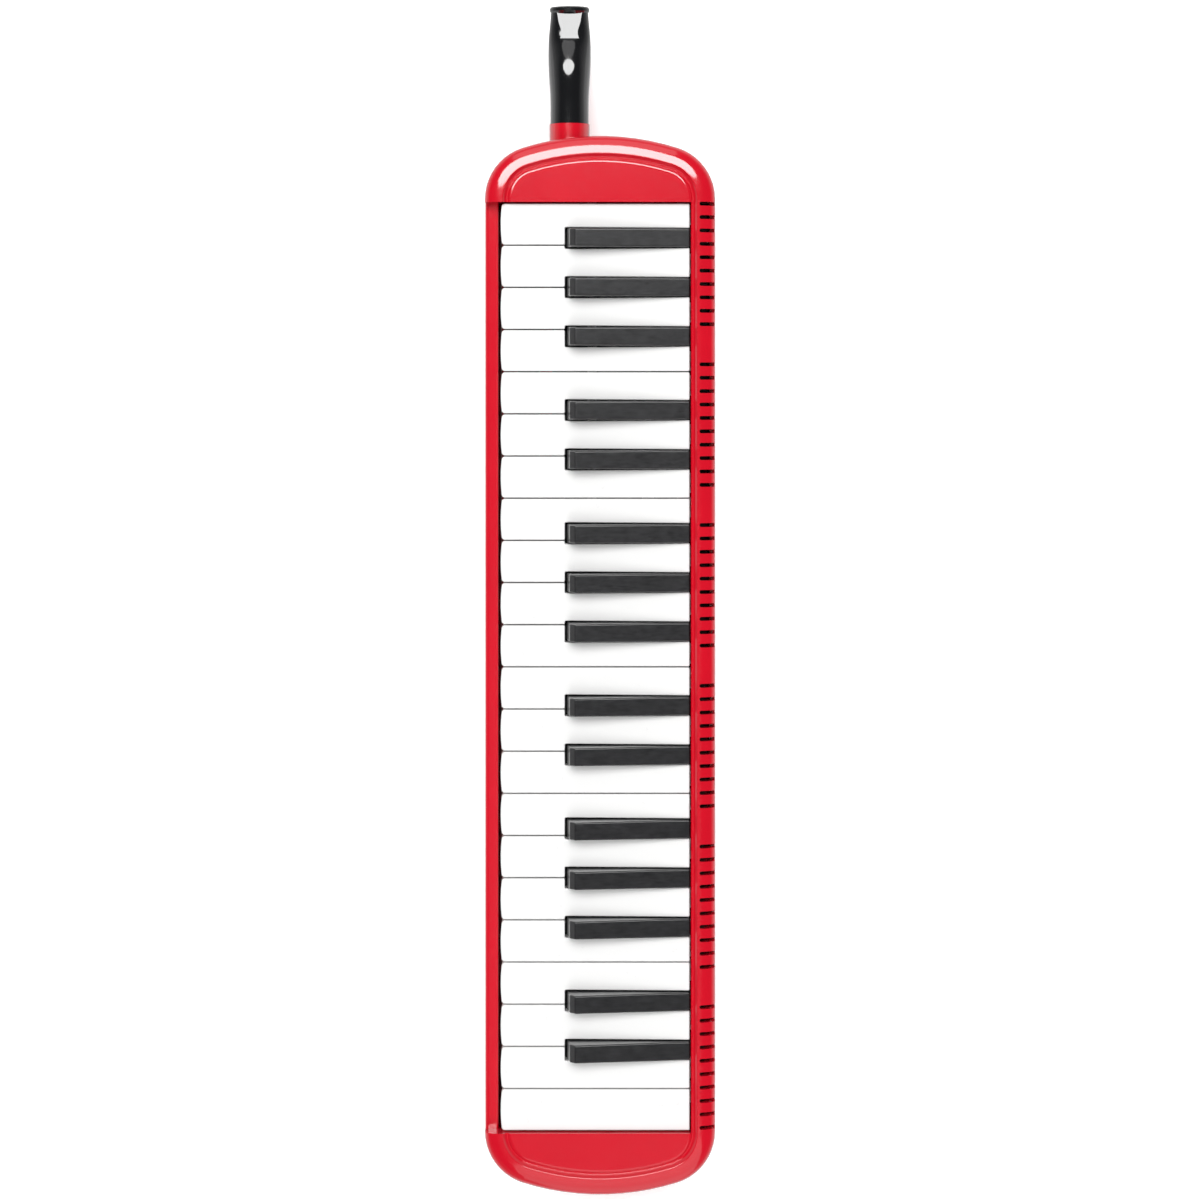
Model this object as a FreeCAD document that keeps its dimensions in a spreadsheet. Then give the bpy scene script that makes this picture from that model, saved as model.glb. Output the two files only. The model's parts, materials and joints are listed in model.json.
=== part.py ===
"""Melodica with 37 sprung keys, a reed chamber, a pull-out mouthpiece, a drain valve and a hand strap.

Millimetres. +X runs along the keyboard from the low notes to the high ones, -Y faces the player, and +Z
points up from the table. The mouthpiece is at the -X end.
"""

import math
import os
import re

import FreeCAD
import Part
import Sketcher

V = FreeCAD.Vector

DIMENSIONS = {
    # keyboard layout
    "white_pitch": 19.2,
    "white_count": 22,
    "key_count": 37,
    "semitone_pitch": 11.2,
    "stem_lead": 0.9,
    "key_gap": 0.5,
    "end_gap": 0.3,
    "key_front": -45.2,
    "key_rear": 40.8,
    "head_end": -16,
    "key_top": 38.5,
    "skirt_bottom": 28.5,
    "tail_bottom": 32,
    "key_wall": 1.5,
    "key_plate": 2,
    "key_edge": 0.5,
    "front_bow": 0.9,
    "front_radius": 70,
    "front_corner": 1.5,
    "notch_corner": 0.6,
    "neighbour_gap": 0.4,
    "black_front": -15.1,
    "black_base_width": 9,
    "black_rear_width": 8.2,
    "black_top_width": 8,
    "black_shoulder": 45.2,
    "black_crest": -11.2,
    "black_high": 47.6,
    "black_low": 40.5,
    "black_edge": 0.7,
    # key action
    "axle_across": 22,
    "axle_height": 28,
    "axle_radius": 1.5,
    "running_gap": 0.05,
    "hub_radius": 2.8,
    "hub_width": 9,
    "stem_width": 2,
    "stem_rear": 45,
    "pad_front": 35.4,
    "pad_width": 9.2,
    "pad_thickness": 2,
    "pad_plate": 1.6,
    "spring_across": 8,
    "spring_seat": 30.5,
    "spring_bar_front": -5.8,
    "spring_bar_rear": -1.6,
    "leaf_width": 4,
    "leaf_thickness": 0.4,
    "comb_base": 1.2,
    "comb_front": -12,
    "comb_rear": 29,
    "comb_margin": 7,
    "peg_radius": 1,
    "rib_width": 1.6,
    "rib_top": 31,
    # case
    "case_length": 482.3,
    "case_shift": -0.8,
    "case_width": 105,
    "end_radius": 117,
    "corner_radius": 24.5,
    "case_bottom": 1,
    "split_height": 24,
    "rim_height": 42.2,
    "panel_height": 41.5,
    "groove_depth": 1,
    "shoulder_depth": 7.4,
    "edge_radius": 3.8,
    "crown_drop": 2.77,
    "crown_inset": 4.8,
    "crown_radius": 12,
    "ridge_inset": 8.35,
    "seam": 0.5,
    "bottom_radius": 5,
    "wall": 2.4,
    "opening_front": -46.4,
    "opening_rear": 41.3,
    "rail_height": 33.5,
    "rail_lip": 1.6,
    "slot_width": 1.75,
    "slot_pitch": 6.08,
    "slot_group": 10,
    "slot_groups": 6,
    "slot_inner": 45.2,
    "slot_bottom": 33,
    "first_slot": -210.7,
    "boss_radius": 3.6,
    "screw_radius": 1.4,
    "foot_radius": 5.4,
    # mouthpiece and its socket
    "mouth_across": -14,
    "mouth_height": 24,
    "socket_radius": 9.3,
    "socket_bore": 7.2,
    "socket_end": 248.2,
    "flange_inset": 6,
    "manifold_face": 228,
    "mouth_length": 53.9,
    "facet_start": 39.2,
    "facet_height": 4.65,
    "facet_tip_height": 3.1,
    "spigot_length": 17,
    "groove_width": 2,
    "seal_section_radius": 0.56,
    "manifold_half_width": 11,
    "manifold_wall": 2,
    "port_half_width": 6,
    # reed chamber
    "chamber_half": 214,
    "chamber_front": -22,
    "chamber_rear": 49.8,
    "chamber_bottom": 10.5,
    "chamber_floor": 2,
    "front_wall": 6,
    "end_wall": 3,
    "rear_wall": 1.6,
    "gasket_bottom": 19.2,
    "cover_bottom": 20,
    "cover_top": 23.5,
    "hole_front": 37.2,
    "hole_rear": 43.2,
    "reed_plate": 1.2,
    "reed_first_length": 36,
    "reed_step": 0.6,
    "reed_thickness": 0.25,
    "chamber_screw_pitch": 44,
    "chamber_screw_radius": 1.1,
    "channel_half_width": 3,
    "vent_half_width": 2.5,
    "tongue_half_width": 1.2,
    "tongue_root": 4,
    # front guide
    "guide_front": -46,
    "guide_rear": -28,
    "guide_top": 20,
    "blade_top": 31,
    "blade_half_width": 7.5,
    "blade_front": -35.5,
    "blade_rear": -33,
    "felt_top": 22.5,
    "felt_rear": -38,
    # drain valve
    "drain_along": 200,
    "drain_across": -8,
    "drain_radius": 6,
    "drain_stem_radius": 1.4,
    "drain_hole_radius": 2.6,
    # hand strap
    "recess_half_length": 58,
    "recess_front": -24,
    "recess_rear": 40,
    "recess_depth": 8,
    "anchor_half_length": 72.6,
    "anchor_half_width": 15.6,
    "strap_across": 8,
    "strap_half_width": 12.5,
    "strap_thickness": 1.8,
    "strap_pin_along": 66,
    "strap_pin_height": 5.5,
    "strap_pin_radius": 1.5,
}

# Sizes and places that follow from the dimensions.
DERIVED = {
    # left edge of the lowest white key, and the place of the first key's stem
    "keys_start": "-white_pitch * white_count / 2",
    "first_semitone": "keys_start - stem_lead + semitone_pitch / 2",
    "last_semitone": "first_semitone + (key_count - 1) * semitone_pitch",
    "opening_half": "white_pitch * white_count / 2 + end_gap",
    # the air port between the manifold and the chamber
    "port_bottom": "chamber_bottom + chamber_floor + 0.5",
    "port_top": "gasket_bottom - 0.7",
    # where the middle of the overall length lies, measured from the middle of the case
    "frame_shift": "(socket_end + mouth_length - case_length / 2 - case_shift) / 2",
}

# Semitones above the first note, within one octave, that are black keys.
BLACK_STEPS = (1, 3, 5, 8, 10)
STEPS_PER_OCTAVE = 12
WHITES_PER_OCTAVE = 7
NOTE_NAMES = ("f", "fs", "g", "gs", "a", "as", "b", "c", "cs", "d", "ds", "e")
FIRST_OCTAVE = 3

# Places in plan, measured from the middle of the case for the screws.
CASE_SCREWS = ((226, 36), (226, -36), (-226, 36), (-226, -36), (230, 14), (-230, 14))
FEET = ((195, 38), (195, -38), (-195, 38), (-195, -38))

doc = FreeCAD.newDocument("melodica")
sheet = doc.addObject("Spreadsheet::Sheet", "dims")


def bound(text):
    """Expression with every dimension's name pointing at the sheet, and every derived one spelled out."""

    def spell(match):
        word = match[0]
        if word in DERIVED:
            return f"({bound(DERIVED[word])})"
        return "dims." + word if word in DIMENSIONS else word

    return re.sub(r"[a-z_]{3,}", spell, str(text))


def fill_sheet():
    for row, (name, value) in enumerate(DIMENSIONS.items(), 1):
        sheet.set(f"A{row}", name)
        sheet.set(f"B{row}", str(value))
        sheet.setAlias(f"B{row}", name)
    doc.recompute()


def value_of(expression):
    result = sheet.evalExpression(bound(expression))
    return float(getattr(result, "Value", result))


def bind(target, prop, expression):
    target.setExpression(prop, bound(expression))


# ---------------------------------------------------------------- sketches


def new_body(name):
    return doc.addObject("PartDesign::Body", name)


def origin_feature(body, role):
    return next(f for f in body.Origin.OriginFeatures if f.Role == role)


def sketch_on(body, name, plane, offset="0"):
    """Sketch on one of the body's origin planes, moved along the plane's normal by offset."""
    sketch = body.newObject("Sketcher::SketchObject", name)
    sketch.AttachmentSupport = (origin_feature(body, plane + "_Plane"), [""])
    sketch.MapMode = "FlatFace"
    bind(sketch, "AttachmentOffset.Base.z", offset)
    return sketch


def constrain(sketch, kind, expression, *where):
    index = sketch.addConstraint(Sketcher.Constraint(kind, *where, value_of(expression)))
    bind(sketch, f"Constraints[{index}]", expression)


def pin_point(sketch, geometry, vertex, across, up):
    constrain(sketch, "DistanceX", across, -1, 1, geometry, vertex)
    constrain(sketch, "DistanceY", up, -1, 1, geometry, vertex)


def corner_geometry(before, here, after, radius):
    """Where a rounded corner starts and ends, with its arc's centre; all three are the corner when sharp."""
    if not radius:
        return here, here, here
    back = (before - here).normalize()
    ahead = (after - here).normalize()
    half = back.getAngle(ahead) / 2
    reach = radius / math.tan(half)
    centre = here + (back + ahead).normalize() * (radius / math.sin(half))
    return here + back * reach, here + ahead * reach, centre


def profile(sketch, corners):
    """Closed outline through corners given as (across, up) or (across, up, rounding radius) expressions."""
    points = [V(value_of(c[0]), value_of(c[1]), 0) for c in corners]
    radii = [value_of(c[2]) if len(c) > 2 else 0 for c in corners]
    count = len(corners)
    following = points[1:] + points[:1]
    spots = [corner_geometry(points[i - 1], points[i], following[i], radii[i]) for i in range(count)]
    lines = [
        sketch.addGeometry(Part.LineSegment(spots[i][1], spots[(i + 1) % count][0])) for i in range(count)
    ]
    for i, corner in enumerate(corners):
        arriving = lines[i - 1]
        leaving = lines[i]
        if not radii[i]:
            sketch.addConstraint(Sketcher.Constraint("Coincident", arriving, 2, leaving, 1))
            pin_point(sketch, leaving, 1, corner[0], corner[1])
            continue
        start, end, centre = spots[i]
        turn = (points[i] - points[i - 1]).cross(following[i] - points[i]).z
        first, last = (start, end) if turn > 0 else (end, start)
        angles = [math.atan2(p.y - centre.y, p.x - centre.x) for p in (first, last)]
        arc = sketch.addGeometry(Part.ArcOfCircle(Part.Circle(centre, V(0, 0, 1), radii[i]), *angles))
        arc_start, arc_end = (1, 2) if turn > 0 else (2, 1)
        sketch.addConstraint(Sketcher.Constraint("Tangent", arriving, 2, arc, arc_start))
        sketch.addConstraint(Sketcher.Constraint("Tangent", arc, arc_end, leaving, 1))
        constrain(sketch, "Radius", corner[2], arc)
        mark = sketch.addGeometry(Part.Point(points[i]), True)
        pin_point(sketch, mark, 1, corner[0], corner[1])
        sketch.addConstraint(Sketcher.Constraint("PointOnObject", mark, 1, arriving))
        sketch.addConstraint(Sketcher.Constraint("PointOnObject", mark, 1, leaving))
    return sketch


def rectangle(sketch, left, right, low, high):
    return profile(sketch, [(left, low), (right, low), (right, high), (left, high)])


def circle(sketch, across, up, radius):
    centre = V(value_of(across), value_of(up), 0)
    ring = sketch.addGeometry(Part.Circle(centre, V(0, 0, 1), value_of(radius)))
    pin_point(sketch, ring, 3, across, up)
    constrain(sketch, "Radius", radius, ring)
    return sketch


def case_outline(sketch, inset="0"):
    """The case's outline in plan: straight sides, rounded corners and bowed ends, all tangent."""
    half_length = value_of(f"case_length / 2 - ({inset})")
    half_width = value_of(f"case_width / 2 - ({inset})")
    end = value_of(f"end_radius - ({inset})")
    corner = value_of(f"corner_radius - ({inset})")
    middle = value_of("case_shift")
    end_x = half_length - end
    corner_y = half_width - corner
    corner_x = end_x + math.sqrt((end - corner) ** 2 - corner_y**2)
    lean = math.atan2(corner_y, corner_x - end_x)
    quarter = math.pi / 2

    def arc(x, y, radius, first, last):
        ring = Part.Circle(V(middle + x, y, 0), V(0, 0, 1), radius)
        return sketch.addGeometry(Part.ArcOfCircle(ring, first, last))

    def side(first, last, y):
        return sketch.addGeometry(Part.LineSegment(V(middle + first, y, 0), V(middle + last, y, 0)))

    loop = [
        side(-corner_x, corner_x, -half_width),
        arc(corner_x, -corner_y, corner, -quarter, -lean),
        arc(end_x, 0, end, -lean, lean),
        arc(corner_x, corner_y, corner, lean, quarter),
        side(corner_x, -corner_x, half_width),
        arc(-corner_x, corner_y, corner, quarter, math.pi - lean),
        arc(-end_x, 0, end, math.pi - lean, math.pi + lean),
        arc(-corner_x, -corner_y, corner, math.pi + lean, 3 * quarter),
    ]
    for here, following in zip(loop, loop[1:] + loop[:1]):
        sketch.addConstraint(Sketcher.Constraint("Tangent", here, 2, following, 1))
    for straight in (loop[0], loop[4]):
        sketch.addConstraint(Sketcher.Constraint("Horizontal", straight))
    for rounded in (loop[3], loop[5], loop[7]):
        sketch.addConstraint(Sketcher.Constraint("Equal", loop[1], rounded))
    sketch.addConstraint(Sketcher.Constraint("Equal", loop[2], loop[6]))
    for bowed in (loop[2], loop[6]):
        sketch.addConstraint(Sketcher.Constraint("PointOnObject", bowed, 3, -1))
    constrain(sketch, "Radius", f"end_radius - ({inset})", loop[2])
    constrain(sketch, "Radius", f"corner_radius - ({inset})", loop[1])
    constrain(sketch, "DistanceX", "case_length / 2 - end_radius + case_shift", -1, 1, loop[2], 3)
    constrain(sketch, "DistanceX", "end_radius - case_length / 2 + case_shift", -1, 1, loop[6], 3)
    constrain(sketch, "DistanceY", f"case_width / 2 - ({inset})", -1, 1, loop[4], 1)
    constrain(sketch, "DistanceY", f"({inset}) - case_width / 2", -1, 1, loop[0], 1)
    return sketch


# ---------------------------------------------------------------- features


def pad(body, name, sketch, length):
    """Material added from the sketch along its plane's normal."""
    feature = body.newObject("PartDesign::Pad", name)
    feature.Profile = sketch
    feature.Length = value_of(length)
    bind(feature, "Length", length)
    return feature


def pocket(body, name, sketch, length, forward=False):
    """Material removed from the sketch against its plane's normal, or along it when forward."""
    feature = body.newObject("PartDesign::Pocket", name)
    feature.Profile = sketch
    feature.Length = value_of(length)
    feature.Reversed = forward
    bind(feature, "Length", length)
    return feature


def pattern(body, name, original, pitch, occurrences):
    """The original feature repeated along X."""
    feature = body.newObject("PartDesign::LinearPattern", name)
    feature.Originals = [original]
    feature.Direction = (origin_feature(body, "X_Axis"), [""])
    bind(feature, "Length", f"({pitch}) * (({occurrences}) - 1)")
    bind(feature, "Occurrences", occurrences)
    body.Tip = feature
    return feature


def swept_cut(body, name, corners, inset="0"):
    """Material removed all round the case by a section given in the YZ plane at the case's front side."""
    path = case_outline(sketch_on(body, name + "_path", "XY"), inset)
    section = profile(sketch_on(body, name + "_section", "YZ"), corners)
    feature = body.newObject("PartDesign::SubtractivePipe", name)
    feature.Profile = section
    feature.Spine = (path, [])
    return feature


def box(name, x, y, z):
    """Block between pairs of limits."""
    block = doc.addObject("Part::Box", name)
    for prop, axis, (low, high) in (("Length", "x", x), ("Width", "y", y), ("Height", "z", z)):
        bind(block, prop, f"({high}) - ({low})")
        bind(block, f"Placement.Base.{axis}", low)
    return block


def rod(name, axis, radius, length, x, y, z):
    """Round bar that starts at (x, y, z) and runs along +X, +Y or +Z."""
    turns = {
        "X": FreeCAD.Rotation(V(0, 1, 0), 90),
        "Y": FreeCAD.Rotation(V(1, 0, 0), -90),
        "Z": FreeCAD.Rotation(),
    }
    bar = doc.addObject("Part::Cylinder", name)
    bar.Placement = FreeCAD.Placement(V(), turns[axis])
    bind(bar, "Radius", radius)
    bind(bar, "Height", length)
    for letter, place in zip("xyz", (x, y, z)):
        bind(bar, f"Placement.Base.{letter}", place)
    return bar


def fuse(name, shapes):
    joined = doc.addObject("Part::MultiFuse", name)
    joined.Shapes = shapes
    joined.Refine = True
    return joined


def cut(name, base, tool):
    rest = doc.addObject("Part::Cut", name)
    rest.Base = base
    rest.Tool = tool
    rest.Refine = True
    return rest


def gather(name, shapes):
    group = doc.addObject("Part::Compound", name)
    group.Links = shapes
    return group


def shifted(name, source, along):
    """The same part again, further along X."""
    again = doc.addObject("App::Link", name)
    again.LinkedObject = source
    bind(again, "Placement.Base.x", along)
    return again


def edge_names(shape, wanted):
    return [f"Edge{i}" for i, edge in enumerate(shape.Edges, 1) if wanted(edge.BoundBox)]


# ---------------------------------------------------------------- case


def make_upper_case():
    body = new_body("upper_case")
    edge = "-case_width / 2"
    ridge = f"{edge} + ridge_inset"
    groove = "panel_height - groove_depth"
    pad(body, "upper_block", case_outline(sketch_on(body, "upper_plan", "XY", "split_height")),
        "rim_height - split_height")
    hollow = case_outline(sketch_on(body, "hollow_plan", "XY", "split_height"), "wall")
    pocket(body, "hollow", hollow, "rim_height - shoulder_depth - split_height", True)
    crown = case_outline(sketch_on(body, "crown_plan", "XY", "split_height"), "wall + 2.6")
    pocket(body, "crown", crown, "panel_height - wall - split_height", True)
    lips = sketch_on(body, "end_lip_plan", "XY", "rail_height - 1")
    far = "opening_half + rail_lip"
    for left, right in (("opening_half", far), (f"-({far})", "-opening_half")):
        rectangle(lips, left, right, "-case_width / 2 + 1", "case_width / 2 - 1")
    pad(body, "end_lips", lips, "rim_height - rail_height + 1")
    swept_cut(body, "rim", [
        (f"{edge} - 3", "rim_height - shoulder_depth - 2"),
        (edge, "rim_height - shoulder_depth - 2"),
        (edge, "rim_height - crown_drop", "edge_radius"),
        (f"{edge} + crown_inset", "rim_height", "crown_radius"),
        (ridge, "rim_height", 0.6),
        (f"{ridge} + 1.6", groove, 0.3),
        (f"{ridge} + 2.2", groove),
        (f"{ridge} + 3", "panel_height", 1.6),
        (f"{ridge} + 4.5", "panel_height"),
        (f"{ridge} + 4.5", "rim_height + 3"),
        (f"{edge} - 3", "rim_height + 3"),
    ])
    swept_cut(body, "seam", [
        (f"{edge} - 1", "split_height - 1"),
        (f"{edge} + seam", "split_height - 1"),
        (f"{edge} + seam", "split_height + seam"),
        (f"{edge} - 1", "split_height + seam"),
    ])
    panel = case_outline(sketch_on(body, "panel_plan", "XY", "rim_height + 1"), "ridge_inset + 4")
    pocket(body, "panel", panel, "rim_height + 1 - panel_height")
    opening = rectangle(sketch_on(body, "opening_plan", "XY", "rim_height + 2"),
                        "-opening_half", "opening_half", "opening_front", "opening_rear")
    pocket(body, "opening", opening, "rim_height + 2 - split_height")
    step = rectangle(sketch_on(body, "step_plan", "XY", "rim_height + 2"),
                     "-opening_half", "opening_half", "-case_width / 2 - 2", "opening_front + 1")
    pocket(body, "step", step, "rim_height + 2 - rail_height + 2.5")
    rail = profile(sketch_on(body, "rail_section", "YZ", "-opening_half - 1"), [
        ("-case_width / 2", "split_height + 3"),
        ("-case_width / 2 + wall", "split_height + 3"),
        ("-case_width / 2 + wall", "rail_height - 2.2"),
        ("opening_front - rail_lip", "rail_height - 2.2"),
        ("opening_front - rail_lip", "split_height + 2"),
        ("opening_front", "split_height + 2"),
        ("opening_front", "rail_height", 1),
        ("-case_width / 2", "rail_height", 1.8),
    ])
    pad(body, "rail", rail, "2 * opening_half + 2")
    make_slots(body)
    bosses = sketch_on(body, "upper_boss_plan", "XY", "split_height")
    pilots = sketch_on(body, "pilot_plan", "XY", "split_height")
    for x, y in CASE_SCREWS:
        circle(bosses, f"case_shift + {x}", y, "boss_radius")
        circle(pilots, f"case_shift + {x}", y, "screw_radius + running_gap")
    pad(body, "upper_bosses", bosses, "panel_height - split_height - 1.5")
    pocket(body, "pilots", pilots, 12.5, True)
    socket_notch(body, "upper_notch")
    return body


def make_slots(body):
    """Sound slots that run over the rear edge of the case, in equal groups."""
    plan = sketch_on(body, "slot_plan", "XY", "rim_height + 2")
    for i in range(int(value_of("slot_group"))):
        middle = f"first_slot + {i} * slot_pitch"
        profile(plan, [
            (f"{middle} - slot_width / 2", "slot_inner", "slot_width * 0.45"),
            (f"{middle} + slot_width / 2", "slot_inner", "slot_width * 0.45"),
            (f"{middle} + slot_width / 2", "case_width / 2 + 2"),
            (f"{middle} - slot_width / 2", "case_width / 2 + 2"),
        ])
    group = pocket(body, "slots", plan, "rim_height + 2 - slot_bottom")
    pattern(body, "slot_rows", group, "(slot_group + 2) * slot_pitch", "slot_groups")


def socket_notch(body, name):
    """Half of the round hole where the mouthpiece socket leaves the case."""
    section = sketch_on(body, name + "_section", "YZ", "-manifold_face - 4")
    circle(section, "mouth_across", "mouth_height", "socket_radius")
    pocket(body, name, section, 30)


def make_lower_case():
    body = new_body("lower_case")
    edge = "-case_width / 2"
    pad(body, "lower_block", case_outline(sketch_on(body, "lower_plan", "XY", "case_bottom")),
        "split_height - case_bottom")
    swept_cut(body, "bottom_edge", [
        (f"{edge} - 3", "case_bottom - 3"),
        (f"{edge} + bottom_radius + 2", "case_bottom - 3"),
        (f"{edge} + bottom_radius + 2", "case_bottom"),
        (edge, "case_bottom", "bottom_radius"),
        (edge, "case_bottom + bottom_radius + 2"),
        (f"{edge} - 3", "case_bottom + bottom_radius + 2"),
    ])
    hollow = case_outline(sketch_on(body, "tub_plan", "XY", "split_height"), "wall")
    pocket(body, "tub", hollow, "split_height - case_bottom - wall - 2")
    deep = case_outline(sketch_on(body, "tub_deep_plan", "XY", "split_height"), "wall + 1.8")
    pocket(body, "tub_deep", deep, "split_height - case_bottom - wall")
    shell = rectangle(sketch_on(body, "recess_shell_plan", "XY", "case_bottom"),
                      "-anchor_half_length - 2", "anchor_half_length + 2",
                      "recess_front - 2", "recess_rear + 2")
    pad(body, "recess_shell", shell, "chamber_bottom - case_bottom")
    ribs = sketch_on(body, "rib_plan", "XY", "case_bottom + 1")
    for x in (-170, -110, 110, 170):
        rectangle(ribs, x - 1, x + 1, "chamber_front + 2", "chamber_rear - 2")
    pad(body, "chamber_ribs", ribs, "chamber_bottom - case_bottom - 1")
    bosses = sketch_on(body, "lower_boss_plan", "XY", "case_bottom + 1")
    holes = sketch_on(body, "screw_hole_plan", "XY", "case_bottom - 1")
    heads = sketch_on(body, "screw_head_plan", "XY", "case_bottom - 1")
    for x, y in CASE_SCREWS:
        circle(bosses, f"case_shift + {x}", y, "boss_radius + 0.8")
        circle(holes, f"case_shift + {x}", y, "screw_radius + running_gap")
        circle(heads, f"case_shift + {x}", y, "screw_radius * 2 + 0.2")
    pad(body, "lower_bosses", bosses, "split_height - case_bottom - 1")
    pocket(body, "screw_holes", holes, "split_height", True)
    pocket(body, "screw_heads", heads, 8, True)
    near = "strap_across - anchor_half_width"
    far = "strap_across + anchor_half_width"
    recess = profile(sketch_on(body, "recess_plan", "XY", "case_bottom - 1"), [
        ("-recess_half_length", "recess_front", 12), ("recess_half_length", "recess_front", 12),
        ("recess_half_length", near, 1), ("anchor_half_length", near, 3),
        ("anchor_half_length", far, 3), ("recess_half_length", far, 1),
        ("recess_half_length", "recess_rear", 12), ("-recess_half_length", "recess_rear", 12),
        ("-recess_half_length", far, 1), ("-anchor_half_length", far, 3),
        ("-anchor_half_length", near, 3), ("-recess_half_length", near, 1),
    ])
    pocket(body, "recess", recess, "recess_depth + 1", True)
    feet = sketch_on(body, "foot_plan", "XY", "case_bottom - 1")
    for x, y in FEET:
        circle(feet, x, y, "foot_radius + 0.1")
    pocket(body, "foot_seats", feet, 2, True)
    drain = sketch_on(body, "drain_plan", "XY", "case_bottom - 1")
    circle(drain, "drain_along", "drain_across", "drain_radius + 0.3")
    pocket(body, "drain_hole", drain, "wall + 2", True)
    socket_notch(body, "lower_notch")
    return body


def make_case_fasteners():
    """Case screws, driven up from counterbores in the underside."""
    screws = []
    for i, (x, y) in enumerate(CASE_SCREWS, 1):
        along = f"case_shift + {x}"
        head = rod(f"case_screw_head_{i}", "Z", "screw_radius * 2", 2, along, y, "case_bottom + 5")
        shank = rod(f"case_screw_shank_{i}", "Z", "screw_radius", 28, along, y, "case_bottom + 7")
        screws.append(fuse(f"case_screw_{i}", [head, shank]))
    feet = [
        rod(f"foot_{i}", "Z", "foot_radius", "case_bottom + 1", x, y, 0)
        for i, (x, y) in enumerate(FEET, 1)
    ]
    return gather("case_screws", screws), gather("rubber_feet", feet)


# ---------------------------------------------------------------- mouthpiece


def make_socket():
    """Round socket at the end of the case, with a hollow manifold that leads to the chamber's port."""
    along = "-socket_end"
    tube = rod("socket_tube", "X", "socket_radius", "socket_end - manifold_face + 1", along,
               "mouth_across", "mouth_height")
    flange = rod("socket_flange", "X", "socket_radius + 1.4", 2,
                 "case_shift - case_length / 2 + flange_inset", "mouth_across", "mouth_height")
    manifold = box("manifold", ("-manifold_face", "-chamber_half"),
                   ("mouth_across - manifold_half_width", "mouth_across + manifold_half_width"),
                   ("chamber_bottom", "mouth_height + 8 + manifold_wall"))
    solid = fuse("socket_solid", [tube, flange, manifold])
    bore = rod("socket_bore_tool", "X", "socket_bore", "socket_end - manifold_face + 3", "-socket_end - 1",
               "mouth_across", "mouth_height")
    room_half = "manifold_half_width - manifold_wall"
    room = box("manifold_room", ("-manifold_face + manifold_wall", "-chamber_half - manifold_wall"),
               (f"mouth_across - ({room_half})", f"mouth_across + {room_half}"),
               ("chamber_bottom + manifold_wall", "mouth_height + 8"))
    port = box("manifold_port", ("-chamber_half - 3", "-chamber_half + 1"),
               ("mouth_across - port_half_width", "mouth_across + port_half_width"),
               ("port_bottom", "port_top"))
    return cut("mouthpiece_socket", solid, fuse("socket_air", [bore, room, port]))


def oval(name, reach, half_width, half_height):
    """Oval section of the mouthpiece, reach millimetres out from the socket."""
    ring = doc.addObject("Part::Ellipse", name)
    ring.Placement = FreeCAD.Placement(V(), FreeCAD.Rotation(V(1, 1, 1), 120))
    bind(ring, "MajorRadius", half_width)
    bind(ring, "MinorRadius", half_height)
    bind(ring, "Placement.Base.x", f"-socket_end - ({reach})")
    bind(ring, "Placement.Base.y", "mouth_across")
    bind(ring, "Placement.Base.z", "mouth_height")
    return ring


def loft(name, sections):
    body = doc.addObject("Part::Loft", name)
    body.Sections = sections
    body.Solid = True
    body.Ruled = False
    return body


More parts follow.
